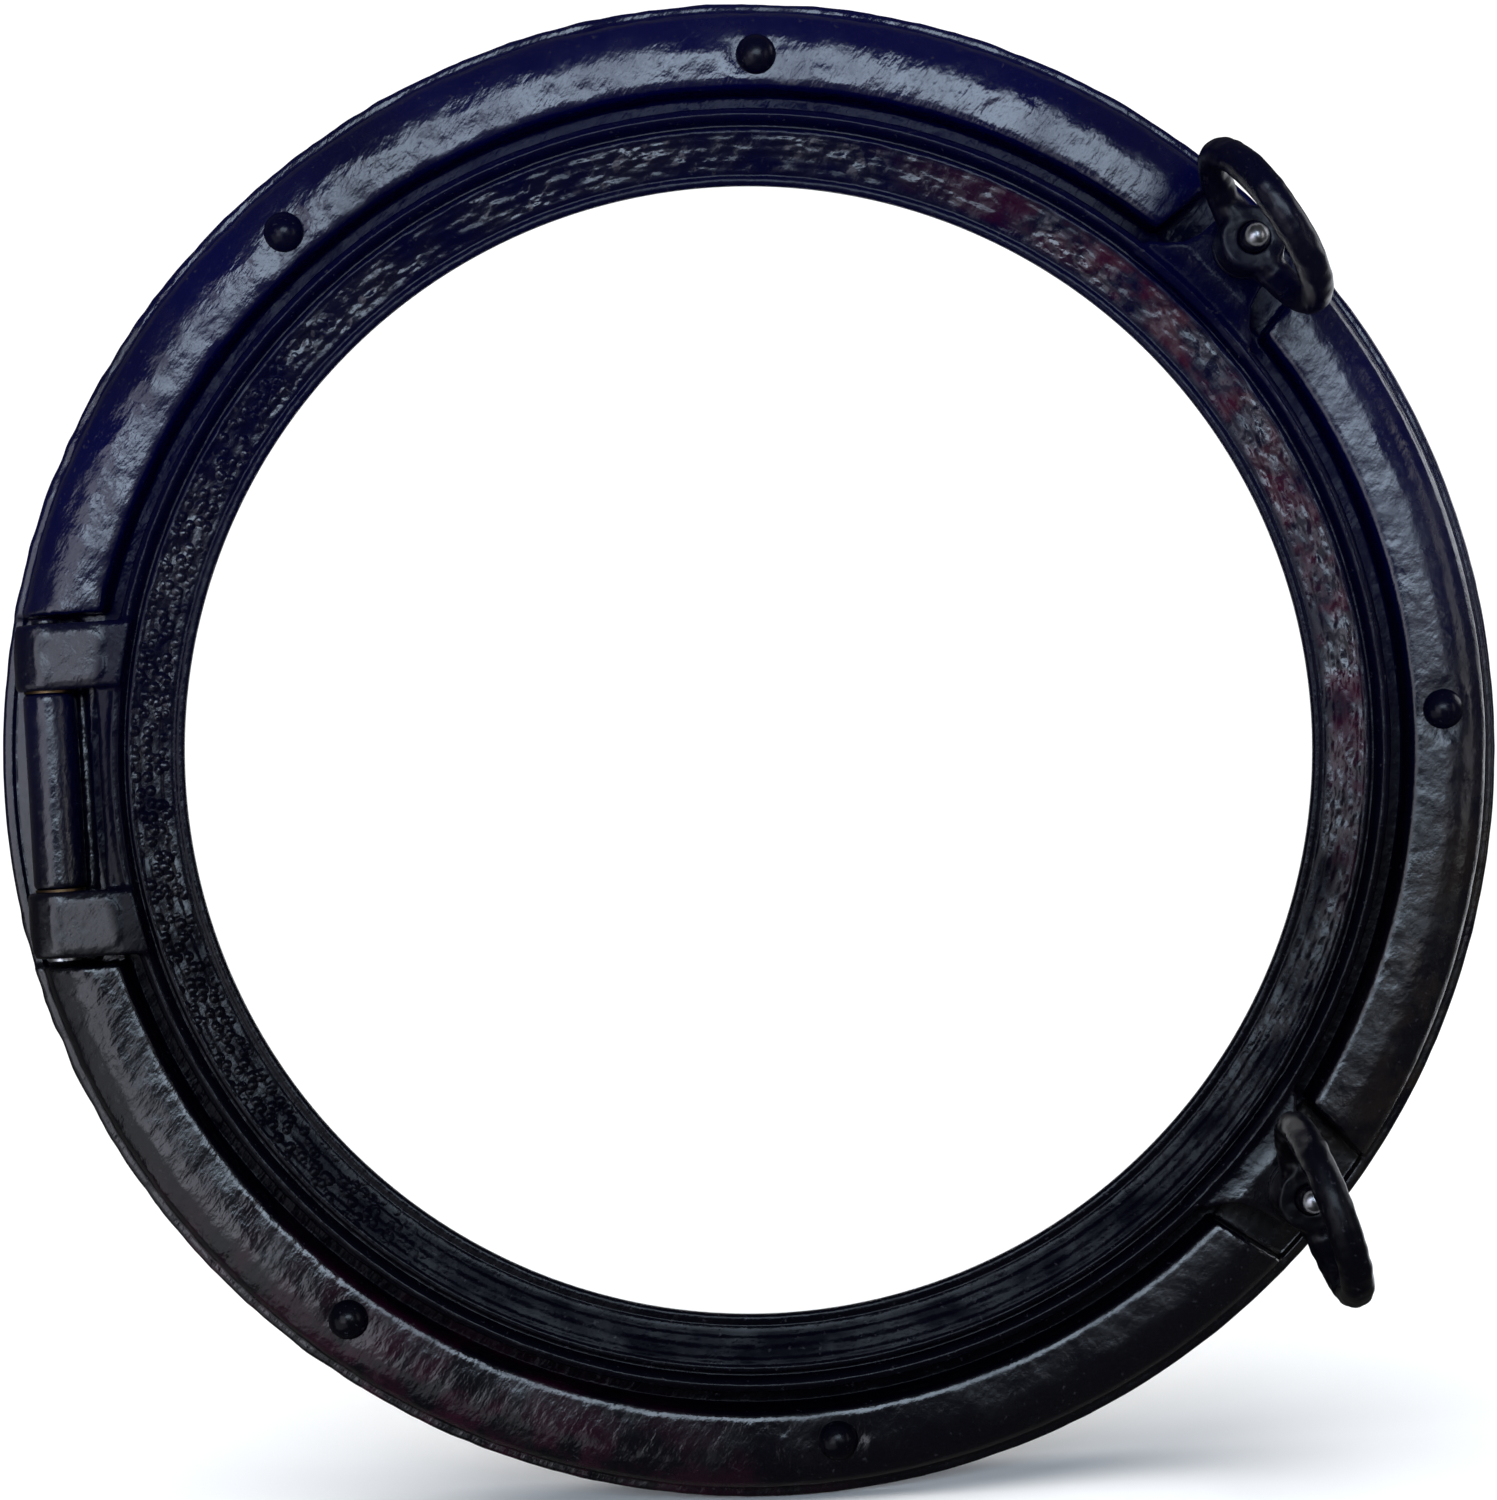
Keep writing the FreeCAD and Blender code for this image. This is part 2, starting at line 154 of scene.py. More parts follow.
def section_field(r, h, corners, rounding):
    """Distance field of a turned section, for points at radius r and height h."""
    step = 0.25
    rs = np.arange(r.min() - 1, r.max() + 1, step)
    hs = np.arange(h.min() - 1, h.max() + 1, step)
    table = softened(polygon_distance(rs[:, None], hs[None, :], corners), step, rounding)
    ri = (np.asarray(r, float) - rs[0]) / step
    hi = (np.asarray(h, float) - hs[0]) / step
    r0 = np.clip(ri.astype(int), 0, len(rs) - 2)
    h0 = np.clip(hi.astype(int), 0, len(hs) - 2)
    fr, fh = ri - r0, hi - h0
    return ((table[r0, h0] * (1 - fr) + table[r0 + 1, h0] * fr) * (1 - fh)
            + (table[r0, h0 + 1] * (1 - fr) + table[r0 + 1, h0 + 1] * fr) * fh)


def rounded_meeting(first, second, rounding):
    """Overlap of two fields with a rounded edge; both come in grown by the rounding."""
    outside = np.sqrt(np.maximum(first, 0) ** 2 + np.maximum(second, 0) ** 2)
    return outside + np.minimum(np.maximum(first, second), 0) - rounding


def box_distance(offsets, halves, rounding=0.0):
    """Distance from a box centred at zero offsets, its edges rounded."""
    beyond = [np.abs(offset) - (half - rounding) for offset, half in zip(offsets, halves)]
    outside = np.sqrt(sum(np.maximum(b, 0) ** 2 for b in beyond))
    deepest = beyond[0]
    for b in beyond[1:]:
        deepest = np.maximum(deepest, b)
    return outside + np.minimum(deepest, 0) - rounding


def rod_distance(across, along, radius, half_length, rounding=0.0):
    """Distance from a round bar: across is the distance from its axis."""
    side = across - (radius - rounding)
    end = np.abs(along) - (half_length - rounding)
    return rounded_meeting(side, end, rounding)


def mirrored(half):
    """Closed outline from its half below v = 0."""
    return half + [(u, -v) for u, v in reversed(half)]


# ---------------- from distance field to mesh

def surface_nets(values, wrap):
    """Quad mesh of the zero surface: fractional grid places, and faces.

    wrap closes the second axis.
    """
    sizes = values.shape
    padded = np.concatenate([values, values[:, :1]], axis=1) if wrap else values
    inside = padded < 0
    shape = tuple(size - 1 for size in padded.shape)
    steps = [(i, j, k) for i in (0, 1) for j in (0, 1) for k in (0, 1)]
    total = np.zeros(shape, np.uint8)
    for i, j, k in steps:
        total += inside[i:i + shape[0], j:j + shape[1], k:k + shape[2]]
    active = (total > 0) & (total < 8)
    cells = np.argwhere(active)
    number = np.full(shape, -1, np.int64)
    number[active] = np.arange(len(cells))
    held = {s: padded[cells[:, 0] + s[0], cells[:, 1] + s[1], cells[:, 2] + s[2]] for s in steps}
    places = np.zeros((len(cells), 3))
    found = np.zeros(len(cells))
    for start in steps:
        for axis in range(3):
            if start[axis]:
                continue
            end = tuple(1 if a == axis else start[a] for a in range(3))
            crossed = (held[start] < 0) != (held[end] < 0)
            drop = np.where(crossed, held[start] - held[end], 1)
            share = np.where(crossed, held[start] / drop, 0)
            for a in range(3):
                places[:, a] += np.where(crossed, share if a == axis else start[a], 0)
            found += crossed
    places = cells + places / found[:, None]
    faces = []
    for axis in range(3):
        second, third = (axis + 1) % 3, (axis + 2) % 3
        low = np.take(inside, range(padded.shape[axis] - 1), axis)
        high = np.take(inside, range(1, padded.shape[axis]), axis)
        edges = np.argwhere(low != high)
        for other in (second, third):
            if wrap and other == 1:
                edges = edges[edges[:, 1] < sizes[1]]
            else:
                edges = edges[(edges[:, other] > 0) & (edges[:, other] < shape[other])]
        starts_inside = inside[edges[:, 0], edges[:, 1], edges[:, 2]]
        ring = []
        for back_second, back_third in ((0, 0), (1, 0), (1, 1), (0, 1)):
            cell = edges.copy()
            cell[:, second] -= back_second
            cell[:, third] -= back_third
            if wrap:
                cell[:, 1] %= sizes[1]
            ring.append(number[cell[:, 0], cell[:, 1], cell[:, 2]])
        quads = np.stack(ring, axis=1)
        quads[~starts_inside] = quads[~starts_inside][:, ::-1]
        faces.append(quads)
    return places, np.concatenate(faces)


def spaced(*stretches):
    """Grid line places: (start, end, step) stretches laid end to end."""
    lines = []
    for start, end, step in stretches:
        count = max(1, round((end - start) / step))
        lines.append(np.linspace(start, end, count, endpoint=False))
    lines.append([stretches[-1][1]])
    return np.concatenate(lines)


def from_index(places, lines):
    """Fractional grid places as lengths or angles, axis by axis."""
    return [np.interp(places[:, a], np.arange(len(lines[a])), lines[a]) for a in range(3)]


def to_row(points):
    """Drawing millimetres to the frame's upright metres."""
    return np.stack([points[:, 0], -points[:, 2], points[:, 1]], axis=1) * MM


def linked(name, data):
    """New object in the scene."""
    made = bpy.data.objects.new(name, data)
    bpy.context.scene.collection.objects.link(made)
    return made


def new_piece(name, points, faces):
    """Smooth-shaded object from drawing points and quads."""
    mesh = bpy.data.meshes.new(name)
    mesh.vertices.add(len(points))
    mesh.vertices.foreach_set("co", to_row(points).astype(np.float32).ravel())
    mesh.loops.add(faces.size)
    mesh.loops.foreach_set("vertex_index", faces.ravel().astype(np.int32))
    mesh.polygons.add(len(faces))
    starts = np.arange(0, faces.size, faces.shape[1], dtype=np.int32)
    mesh.polygons.foreach_set("loop_start", starts)
    mesh.update(calc_edges=True)
    mesh.validate()
    mesh.shade_smooth()
    return linked(name, mesh)


def block_lines(step, *spans):
    """Grid lines of a block, from low to high along its three sides."""
    return [spaced((low, high, step)) for low, high in spans]


def grid_axes(lines):
    """Three lists of grid lines, each laid along its own axis."""
    return [places.reshape([-1 if a == axis else 1 for a in range(3)])
            for axis, places in enumerate(lines)]


def polar_space(lines):
    """Radius, height, x and y of every grid point round the window's axis."""
    r, angle, h = (places.astype(np.float32) for places in grid_axes(lines))
    return r, h, r * np.cos(angle), r * np.sin(angle)


def turned_field(r, h, corners, rounding):
    """Distance field of a section turned round the window's axis, on a polar grid."""
    plane = (r.shape[0], h.shape[2])
    flat = section_field(np.broadcast_to(r[:, 0, :], plane), np.broadcast_to(h[:, 0, :], plane),
                         corners, rounding)
    return flat[:, None, :].astype(np.float32)


def polar_mesh(values, lines):
    """Mesh of a field sampled round the window's axis."""
    r_lines, angle_lines, h_lines = lines
    closed = np.append(angle_lines, angle_lines[0] + 2 * math.pi)
    places, faces = surface_nets(values, wrap=True)
    r, angle, h = from_index(places, (r_lines, closed, h_lines))
    return np.stack([r * np.cos(angle), r * np.sin(angle), h], axis=1), faces


def block_mesh(values, lines):
    """Mesh of a field sampled on straight grid lines."""
    places, faces = surface_nets(values, wrap=False)
    return np.stack(from_index(places, lines), axis=1), faces


# ---------------- cast surfaces

def normals_of(points, faces):
    """Normal of every point, from the quads round it."""
    across = points[faces[:, 2]] - points[faces[:, 0]]
    up = points[faces[:, 3]] - points[faces[:, 1]]
    face_normals = np.cross(across, up)
    normals = np.zeros_like(points)
    for i in range(4):
        np.add.at(normals, faces[:, i], face_normals)
    return normals / np.maximum(np.linalg.norm(normals, axis=1, keepdims=True), 1e-9)


def embossed(points, faces, relief):
    """Points moved along their normals by a relief in millimetres."""
    return points + normals_of(points, faces) * relief[:, None]


def ripples(points, seed, count, shortest, longest):
    """Smooth random relief of unit strength, made of waves that run in all directions."""
    random = np.random.default_rng(seed)
    total = np.zeros(len(points))
    for _ in range(count):
        direction = random.normal(size=3)
        direction /= np.linalg.norm(direction)
        length = shortest * (longest / shortest) ** random.random()
        phase = random.random() * 2 * math.pi
        total += np.sin(points @ direction * (2 * math.pi / length) + phase)
    return total / math.sqrt(count / 2)


def within(values, low, high, soft):
    """1 inside a range and 0 outside, with soft ends."""
    rise = np.clip((values - low) / soft + 0.5, 0, 1)
    fall = np.clip((high - values) / soft + 0.5, 0, 1)
    return rise * fall


# ---------------- outer frame

def fine_angles(step, near_step):
    """Grid angles, closer together round the hinge and the dogs."""
    degree = math.pi / 180
    hinge, dog, around = 164, math.degrees(dog_angle), 9
    ends = (-180, -hinge, -dog - around, -dog + around, dog - around, dog + around, hinge, 180)
    steps = (near_step, step) * 3 + (near_step,)
    return spaced(*[(a * degree, b * degree, s * degree)
                    for a, b, s in zip(ends, ends[1:], steps)])[:-1]


def dog_axes(x, y):
    """For each dog, the distance outwards along its radius, and sideways from it."""
    for angle in (dog_angle, -dog_angle):
        yield (x * math.cos(angle) + y * math.sin(angle),
               -x * math.sin(angle) + y * math.cos(angle))


def frame_section():
    """Outline (radius, height) of the flange, its seat and its spigot."""
    return [(246.5, -40.0), (spigot_radius, -40.0), (spigot_radius, 0), (flange_radius, 0),
            (flange_radius, 5.2), (303.6, 6.4), (301.2, 6.0), (300.0, 7.2), (298.4, 14.6),
            (296.0, 17.9), (292.0, 20.0), (287.0, 21.5), (282.0, 22.0), (276.0, 21.6),
            (270.2, 21.0), (268.0, 20.2), (266.8, 18.0), (266.0, seat_height),
            (254.5, seat_height), (254.5, 4.5), (248.5, 4.5), (248.5, seat_height),
            (246.5, seat_height)]


def pocket(plan, gap_plan, r, h, lip):
    """Recess in the flange with a low lip at the rim, and the gap between it and the seat."""
    floor = np.where(r > lip_radius, lip, pocket_floor)
    lower = smooth_max(plan, floor - h, 1.5)
    return np.minimum(lower, np.maximum(gap_plan, gap_floor - h))


def hinge_pocket(x, y, r, h):
    """Recess round the hinge, open at the rim."""
    half, middle_x, inner_x, gap_end_x, lip = 71.0, -360.0, -268.0, -200.0, 4.5
    plan = box_distance((x - middle_x, y), (inner_x - middle_x, half), 5.0)
    gap_plan = np.maximum(np.abs(y) - half, np.maximum(x - gap_end_x, gap_radius - r))
    return pocket(plan, gap_plan, r, h, lip)


def dog_pocket(u, v, r, h):
    """Recess round a dog, wider towards the window."""
    lip = 6.2
    plan = polygon_distance(u, v, mirrored([(266.6, -30.5), (330.0, -22.5)]))
    gap = polygon_distance(u, v, mirrored([(gap_radius, -31.0), (300.0, -26.5)]))
    return pocket(plan, np.maximum(gap, gap_radius - r), r, h, lip)


def clevis(u, v, h):
    """Two ears that carry a dog's pivot pin, on a foot."""
    half_width, foot_middle, foot_half, edge = 13.0, 6.0, 6.5, 1.2
    across = np.hypot(u - dog_radius, h - dog_pivot_height)
    ears = rod_distance(across, v, dog_eye_radius, half_width, edge)
    feet = box_distance((u - dog_radius, v, h - foot_middle),
                        (dog_eye_radius, half_width, foot_half), edge)
    body = smooth_min(ears, feet, 1.0)
    gap = np.maximum(np.abs(v) - slot_half, pocket_floor - h)
    return np.maximum(body, -gap)


def hinge_barrel(x, y, h):
    """Barrel between the hinge arms, on a foot, with square-cut ends."""
    radius, foot_middle, foot_half, edge = 10.4, 9.0, 8.0, 1.2
    across = np.hypot(x - hinge_x, h - hinge_height)
    barrel = rod_distance(across, y, radius, barrel_half, 1.6)
    foot_halves = (foot_half, barrel_half, foot_half)
    foot = box_distance((x - hinge_x, y, h - foot_middle), foot_halves, edge)
    return np.maximum(smooth_min(barrel, foot, 3.0), np.abs(y) - barrel_half)


def frame_casting():
    """Flange with its pockets, bolt seats, hinge barrel and dog clevises."""
    bolt_seat_radius, bolt_seat_height, bolt_hole_radius = 11.6, 21.2, 4.6
    lines = (spaced((244.0, 246.0, 1.0), (246.0, 256.5, 1.1), (256.5, 264.0, 2.5),
                    (264.0, 271.0, 0.75), (271.0, 293.5, 1.5), (293.5, 306.5, 0.8)),
             fine_angles(0.55, 0.26),
             spaced((-42.0, -37.0, 1.0), (-37.0, -2.0, 5.0), (-2.0, 10.0, 0.9), (10.0, 17.0, 1.2),
                    (17.0, 30.0, 0.8)))
    r, h, x, y = polar_space(lines)
    field = turned_field(r, h, frame_section(), 0.55)
    field = smooth_max(field, -hinge_pocket(x, y, r, h), 1.6)
    for u, v in dog_axes(x, y):
        field = smooth_max(field, -dog_pocket(u, v, r, h), 1.6)
    for stud_x, stud_y, _ in stud_places:
        away = np.hypot(x - stud_x, y - stud_y)
        spot = np.maximum(away - bolt_seat_radius, bolt_seat_height - h)
        field = smooth_max(field, -spot, 0.8)
        field = np.maximum(field, -(away - bolt_hole_radius))
    field = smooth_min(field, hinge_barrel(x, y, h), 2.0)
    for u, v in dog_axes(x, y):
        field = smooth_min(field, clevis(u, v, h), 1.5)
    points, faces = polar_mesh(field, lines)
    front = within(points[:, 2], 2.0, 60.0, 3.0)
    relief = (ripples(points, 11, 40, 9.0, 30.0) * 0.16
              + ripples(points, 12, 40, 5.5, 9.0) * 0.05)
    calmer = np.clip(0.70 - points[:, 0] / 700.0 + points[:, 1] / 1000.0, 0.30, 1.0)
    at_barrel = (within(points[:, 0], -400.0, -266.0, 3.0)
                 * within(np.abs(points[:, 1]), -9.0, 44.0, 3.0))
    calmer *= 1.0 - 0.9 * at_barrel
    return new_piece("frame_casting", embossed(points, faces, relief * front * calmer), faces)


# ---------------- door ring

def door_section():
    """Outline (radius, height) of the ridge, the glazing band and its steps."""
    return [(236.0, door_back), (257.6, door_back), (door_radius, 10.6), (door_radius, 21.8),
            (257.4, 24.8), (255.5, 27.0), (254.7, 27.3), (253.8, 26.9), (252.4, 24.8),
            (251.5, 22.6), (250.0, 22.5), (249.5, 25.4), (248.6, 26.3), (247.2, 26.2),
            (246.3, 25.3), (244.6, 25.2), (243.8, 24.4), (240.2, 23.5), (239.6, 22.9),
            (236.4, 22.1), (235.8, 21.5), (232.4, 20.7), (231.7, 19.9), (230.9, 20.3),
            (229.6, 20.7), (228.0, 20.3), (227.3, 19.2), (227.3, 17.5), (236.0, 17.5)]


def hinge_arm(x, y, h):
    """Arm with a round end on the hinge's axis and a flat raised pad on top."""
    end_radius, root_x, overrun, edge = 13.0, -246.0, 3.0, 2.2
    pad_x, pad_half, pad_inset, pad_rounding, pad_proud = -268.6, 14.0, 3.0, 6.0, 0.5
    middle = (arm_inner + arm_outer) / 2
    half = (arm_outer - arm_inner) / 2
    across = np.hypot(x - hinge_x, h - hinge_height)
    side = np.abs(y) - middle
    end = rod_distance(across, side, end_radius, half, edge)
    top = hinge_height + 12.6
    bar = box_distance((x - (hinge_x + root_x) / 2, side, h - (door_back + top) / 2),
                       ((root_x - hinge_x) / 2 + overrun, half, (top - door_back) / 2), edge)
    pad_plan = box_distance((x - pad_x, side), (pad_half, half - pad_inset), pad_rounding)
    pad = np.maximum(pad_plan, np.abs(h - top) - pad_proud)
    body = smooth_min(smooth_min(end, bar, 1.0), pad, 0.8)
    return np.maximum(body, np.abs(side) - half)


def hinge_bridge(x, y, h):
    """Bar on the door's edge that joins the two arms."""
    middle_x, middle_height = -253.0, 18.2
    return box_distance((x - middle_x, y, h - middle_height), (7.0, arm_inner + 1.0, 8.2), 2.0)


def door_lug(u, v, h):
    """Lug with an open slot; its top rises outwards from a thick root."""
    outline = mirrored([(246.0, -30.0), (258.0, -29.0), (262.0, -23.5), (267.0, -18.8),
                        (274.0, -16.4), (286.0, -15.4)])
    underside, low_top, high_top, rise, edge = 20.5, 25.4, 29.0, 0.28, 1.5
    slot_reach = 10.0
    plan = polygon_distance(u, v, outline) + edge
    top = np.clip(low_top + (u - 253.0) * rise, low_top, high_top)
    slab = np.maximum(h - top, underside - h) + edge
    body = rounded_meeting(plan, slab, edge)
    root = box_distance((u - 252.5, v, h - 17.5), (7.5, 22.0, 8.0), 2.0)
    slot = np.minimum(box_distance((u - dog_radius - slot_reach, v), (slot_reach, slot_half)),
                      np.hypot(u - dog_radius, v) - slot_half)
    return smooth_max(smooth_min(body, root, 2.0), -slot, 0.8)


def door_casting():
    """Door ring with its hinge arms and slotted lugs."""
    bore_radius, added_from_radius = 6.1, 252.3
    lines = (spaced((225.5, 232.5, 0.6), (232.5, 246.0, 1.05), (246.0, 259.5, 0.55),
                    (259.5, 298.0, 0.9)),
             fine_angles(0.45, 0.26),
             spaced((3.0, 9.0, 0.9), (9.0, 11.0, 0.7), (11.0, 18.0, 1.3), (18.0, 28.5, 0.6),
                    (28.5, 32.0, 0.7)))
    r, h, x, y = polar_space(lines)
    ring = turned_field(r, h, door_section(), 0.32)
    added = smooth_min(hinge_arm(x, y, h), hinge_bridge(x, y, h), 1.5)
    for u, v in dog_axes(x, y):
        added = np.minimum(added, door_lug(u, v, h))
    added = smooth_max(added, added_from_radius - r, 1.0)
    field = smooth_min(ring, added, 2.2)
    bore = np.hypot(x - hinge_x, h - hinge_height) - bore_radius
    field = np.maximum(field, -np.maximum(bore, np.abs(y) - arm_outer - 5.0))
    points, faces = polar_mesh(field, lines)
    return new_piece("door_casting", embossed(points, faces, door_relief(points)), faces)


def door_relief(points):
    """Relief of the door: rough along the glazing band, and slight over the rest."""
    middle_radius, pull = 240.0, 2.0
    radius = np.hypot(points[:, 0], points[:, 1])
    glazing = within(radius, 232.4, 249.0, 1.5) * within(points[:, 2], 19.0, 27.5, 1.0)
    outer = within(points[:, 2], 11.0, 60.0, 2.0) * within(radius, 249.5, 400.0, 1.0)
    pulled = (middle_radius + (radius - middle_radius) * pull) / radius
    streaks = points * np.stack([pulled, pulled, np.full_like(pulled, pull)], axis=1)
    upper = np.clip(0.75 + points[:, 1] / 400.0, 0.30, 1.0)
    relief = glazing * (ripples(streaks, 21, 60, 9.0, 20.0) * 0.17
                        + ripples(points, 22, 60, 6.0, 10.0) * 0.07)
    relief *= upper
    outer *= within(points[:, 0], -262.0, 400.0, 8.0) * 0.75 + 0.25
    relief += outer * ripples(points, 23, 40, 8.0, 24.0) * 0.08
    return relief


# ---------------- small round parts

def turned_piece(name, corners, segments, centre=(0.0, 0.0), hinge=False):
    """Lathe mesh of (radius, along) corners, upright round a centre or round the hinge's axis.

    The corners are a closed outline, or run from the axis (radius 0) back to it.
    """
    solid = corners[0][0] == 0
    ring = [place for place in corners if place[0] > 0]
    count = len(ring)
    points, faces = [], []
    for i in range(segments):
        angle = i * 2 * math.pi / segments
        for radius, along in ring:
            points.append((radius * math.cos(angle), radius * math.sin(angle), along))
        here, after = i * count, (i + 1) % segments * count
        for j in range(count - 1 if solid else count):
            next_j = (j + 1) % count
            faces.append((here + j, after + j, after + next_j, here + next_j))
    if solid:
        for along, j in ((corners[0][1], 0), (corners[-1][1], count - 1)):
            points.append((0.0, 0.0, along))
            for i in range(segments):
                faces.append((len(points) - 1, i * count + j, (i + 1) % segments * count + j))
    x, y, along = np.array(points).T
    if hinge:
        points = np.stack([hinge_x + x, along, hinge_height - y], axis=1)
    else:
        points = np.stack([centre[0] + x, centre[1] + y, along], axis=1)
    mesh = bpy.data.meshes.new(name)
    mesh.from_pydata(to_row(points).tolist(), [], faces)
    work = bmesh.new()
    work.from_mesh(mesh)
    bmesh.ops.recalc_face_normals(work, faces=work.faces)
    work.to_mesh(mesh)
    work.free()
    mesh.shade_smooth()
    return linked(name, mesh)


def rounded(corners, radius, closed=True):
    """Outline with every corner rounded by up to a radius; an open one keeps its two ends."""
    steps = 5
    result = []
    count = len(corners)
    for index in range(count):
        here = np.array(corners[index], float)
        if not closed and index in (0, count - 1):
            result.append(tuple(here))
            continue
        before = np.array(corners[index - 1], float) - here
        after = np.array(corners[(index + 1) % count], float) - here
        before_length, after_length = np.linalg.norm(before), np.linalg.norm(after)
        reach = min(radius, before_length * 0.45, after_length * 0.45)
        start = here + before / before_length * reach
        end = here + after / after_length * reach
        for step in range(steps + 1):
            t = step / steps
            result.append(tuple((1 - t) ** 2 * start + 2 * t * (1 - t) * here + t ** 2 * end))
    return result


def glass_pane():
    """Flat pane with softened edges."""
    corners = [(0, glass_back), (glass_radius, glass_back), (glass_radius, glass_front),
               (0, glass_front)]
    return turned_piece("glass_disc", rounded(corners, 0.8, closed=False), 256)


def retaining_ring():
    """Ring behind the glass; the screws fill its countersinks."""
    inner, outer, thickness = 230.0, 245.0, 3.0
    back = door_back - thickness
    corners = [(inner, back), (outer, back), (outer, door_back), (inner, door_back)]
    return turned_piece("retaining_ring_turned", rounded(corners, 0.8), 256)


# ---------------- dogs and fasteners

def thread_field(across, along, turn, radius, pitch, depth):
    """Distance from a threaded rod, its V-shaped thread winding with the turn angle."""
    phase = (along / pitch - turn / (2 * math.pi)) % 1.0
    groove = np.abs(phase * 2 - 1)
    return across - (radius - depth * (1 - np.clip(groove * 1.25, 0, 1)))


def spun(points, angle):
    """Points turned round the axis of height."""
    c, s = math.cos(angle), math.sin(angle)
    x, y = points[:, 0], points[:, 1]
    return np.stack([x * c - y * s, x * s + y * c, points[:, 2]], axis=1)


def at_dog(points, sign):
    """Points drawn round a dog's axis, moved to the upper (1) or lower (-1) dog."""
    return spun(points + (dog_radius, 0, 0), sign * dog_angle)


def swing_bolt(name, sign):
    """Eye on the pivot pin, and a shank with a threaded, domed end."""
    step = 0.42
    eye_half, pin_hole_radius = 6.5, 4.1
    plain_radius, thread_radius, pitch, depth, thread_from = 5.9, 6.0, 1.75, 0.75, 28.0
    tip_radius, tip_height = 5.8, 52.2
    lines = block_lines(step, (-9.5, 9.5), (-8, 8), (2.5, 59.5))
    u, v, h = grid_axes(lines)
    across_eye = np.hypot(u, h - dog_pivot_height)
    eye = rod_distance(across_eye, v, dog_eye_radius, eye_half, 1.3)
    across = np.hypot(u, v)
    thread = thread_field(across, h, np.arctan2(v, u), thread_radius, pitch, depth)
    shank = np.where(h < thread_from, across - plain_radius, thread)
    tip = np.sqrt(u ** 2 + v ** 2 + (h - tip_height) ** 2) - tip_radius
    shank = np.where(h > tip_height, tip, shank)
    shank = np.maximum(shank, dog_pivot_height - h)
    body = smooth_min(eye, shank, 2.0)
    body = np.maximum(body, -(across_eye - pin_hole_radius))
    points, faces = block_mesh(body, lines)
    return new_piece(name, at_dog(points, sign), faces)


def eye_nut(name, sign, direction, seed):
    """Cast eye nut: hub, ring handle and the shoulders between them, all blended.

    direction is where the ring's plane points, in degrees.
    """
    step = 0.62
    hub_radius, hub_top, bore_radius, bore_past_hub = 13.0, 50.0, 6.1, 6.0
    ring_height, ring_radius, bar_radius, ring_flatness = 72.0, 33.0, 5.9, 0.94
    shoulder_height = 44.0
    lines = block_lines(step, (-41, 41), (-15, 15), (30.5, 113))
    u, v, h = grid_axes(lines)
    across = np.hypot(u, v)
    hub = rod_distance(across, h - (nut_bottom + hub_top) / 2, hub_radius,
                       (hub_top - nut_bottom) / 2, 1.8)
    ring = np.hypot(np.hypot(u, h - ring_height) - ring_radius, v * ring_flatness) - bar_radius
    beyond_hub = np.maximum(np.abs(u) - hub_radius, 0)
    shoulder = np.sqrt(beyond_hub ** 2 + v ** 2 + (h - shoulder_height) ** 2) - bar_radius
    body = smooth_min(smooth_min(hub, shoulder, 3.0), ring, 3.2)
    body = np.maximum(body, nut_bottom - h)
    bore = np.maximum(across - bore_radius, h - hub_top - bore_past_hub)
    body = smooth_max(body, -bore, 0.7)
    points, faces = block_mesh(body, lines)
    points = embossed(points, faces, ripples(points, seed, 40, 5.0, 16.0) * 0.10)
    points[:, 2] = np.maximum(points[:, 2], nut_bottom)
    points = spun(points, math.radians(direction) - sign * dog_angle)
    return new_piece(name, at_dog(points, sign), faces)


def dog_washer(name, sign):
    """Flat washer between a lug and its nut."""
    inner, outer, bottom = 6.5, 13.0, washer_top - 2.4
    corners = [(inner, bottom), (outer, bottom), (outer, washer_top), (inner, washer_top)]
    centre = (dog_radius * math.cos(dog_angle), sign * dog_radius * math.sin(dog_angle))
    return turned_piece(name, rounded(corners, 0.5), 96, centre=centre)


def mounting_bolts():
    """Domed bolts: the head on its seat, and the threaded stud behind the flange."""
    step = 0.48
    seat, head_height, head_radius, neck_radius = 21.0, 6.4, 8.3, 4.2
    pitch, depth, stud_end = 1.25, 0.6, -45.8
    lines = block_lines(step, (-9.4, 9.4), (-9.4, 9.4), (-47.5, 28.5))
    u, v, h = grid_axes(lines)
    across = np.hypot(u, v)
    dome_radius = (head_radius ** 2 + head_height ** 2) / (2 * head_height)
    dome = np.sqrt(across ** 2 + (h - seat - head_height + dome_radius) ** 2) - dome_radius
    head = smooth_max(dome, seat - h, 0.7)
    stud = thread_field(across, h, np.arctan2(v, u), stud_radius, pitch, depth)
    shank = np.where(h > 0, across - neck_radius, stud)
    shank = np.maximum(shank, h - seat - 2.0)
    shank = smooth_max(shank, stud_end - h, 0.8)
    shank = np.maximum(shank, (across - stud_radius - (h - stud_end)) * 0.7 + 1.0)
    points, faces = block_mesh(np.minimum(head, shank), lines)
    all_points, all_faces = [], []
    for index, (stud_x, stud_y, _) in enumerate(stud_places):
        turned = spun(points, math.atan2(stud_y, stud_x) + index)
        all_points.append(turned + (stud_x, stud_y, 0))
        all_faces.append(faces + len(points) * index)
    return new_piece("domed_mounting_bolts", np.concatenate(all_points),
                     np.concatenate(all_faces))


